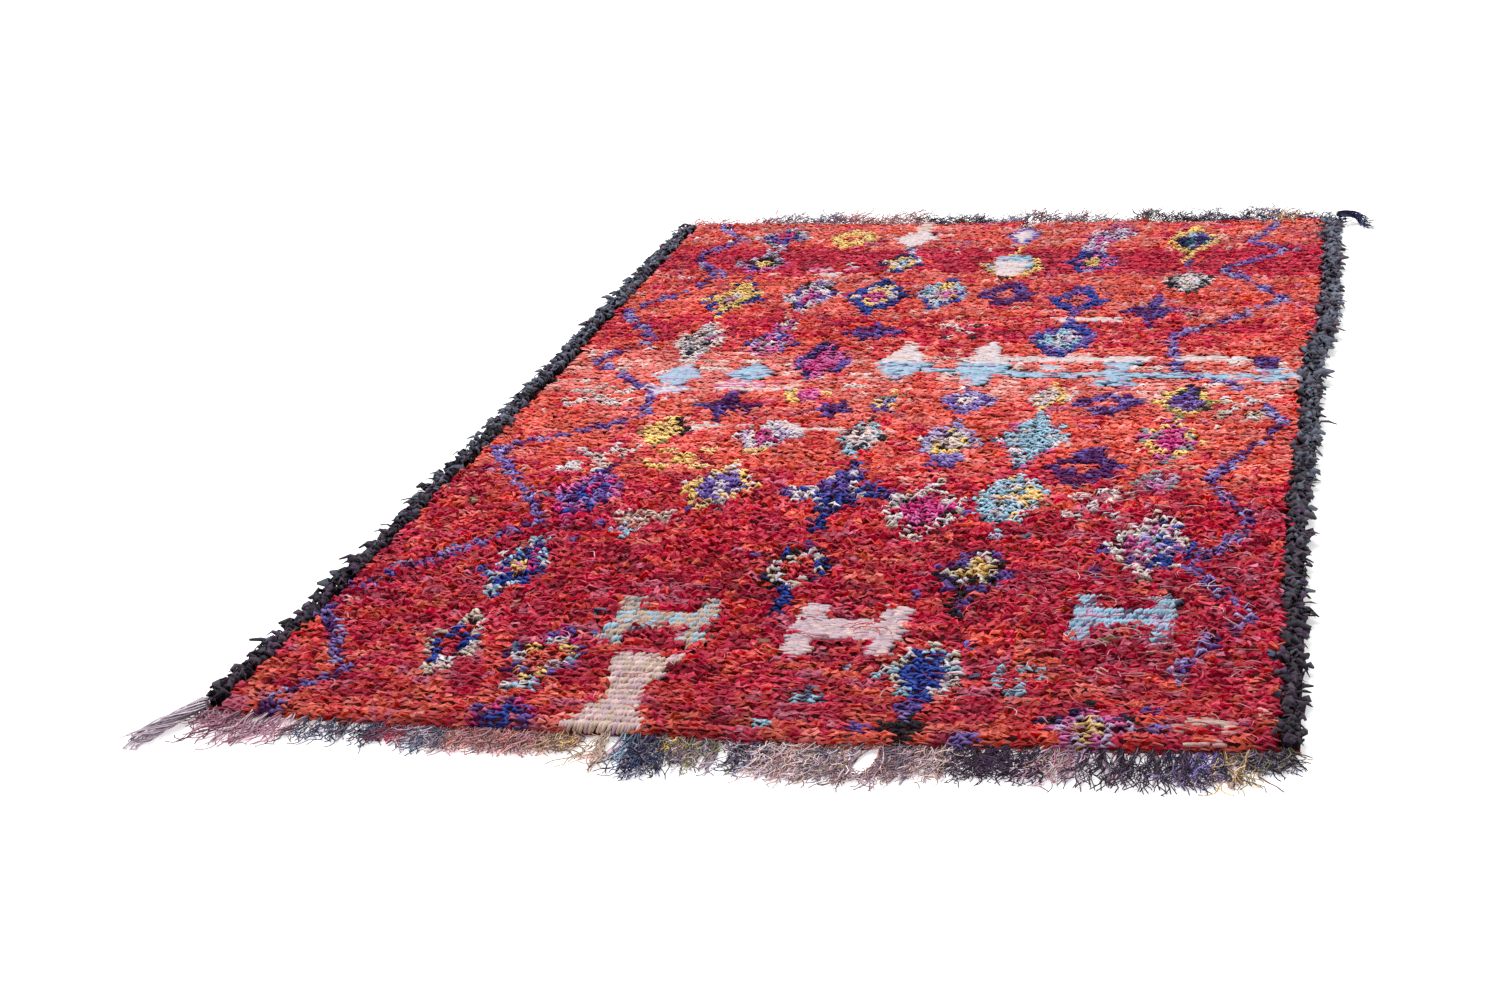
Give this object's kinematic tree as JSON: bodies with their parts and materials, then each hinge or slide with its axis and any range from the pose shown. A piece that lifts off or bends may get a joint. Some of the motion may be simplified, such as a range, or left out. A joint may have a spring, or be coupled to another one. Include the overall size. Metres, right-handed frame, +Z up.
{
  "type": "boucherouite rug",
  "caption": "Flat shaggy rag-pile rug with dark shaggy side borders and loose warp fringe at both ends.",
  "frame": {"origin": "on the floor, under the middle of the pile field", "axes": "+X across the rug, +Y along it from the long near fringe to the short far fringe, +Z up"},
  "size_m": [1.5125, 2.7448, 0.03],
  "materials": {
    "red_rag_pile": "matt cotton and wool rag pile",
    "charcoal_rag_locks": "matt charcoal rag locks",
    "warp_fringe": "matt hair and cotton warp yarn"
  },
  "bodies": {
    "root": {"rug_field": "red_rag_pile", "border_left": "charcoal_rag_locks", "border_right": "charcoal_rag_locks", "fringe_near": "warp_fringe", "fringe_far": "warp_fringe"}
  },
  "joints": []
}
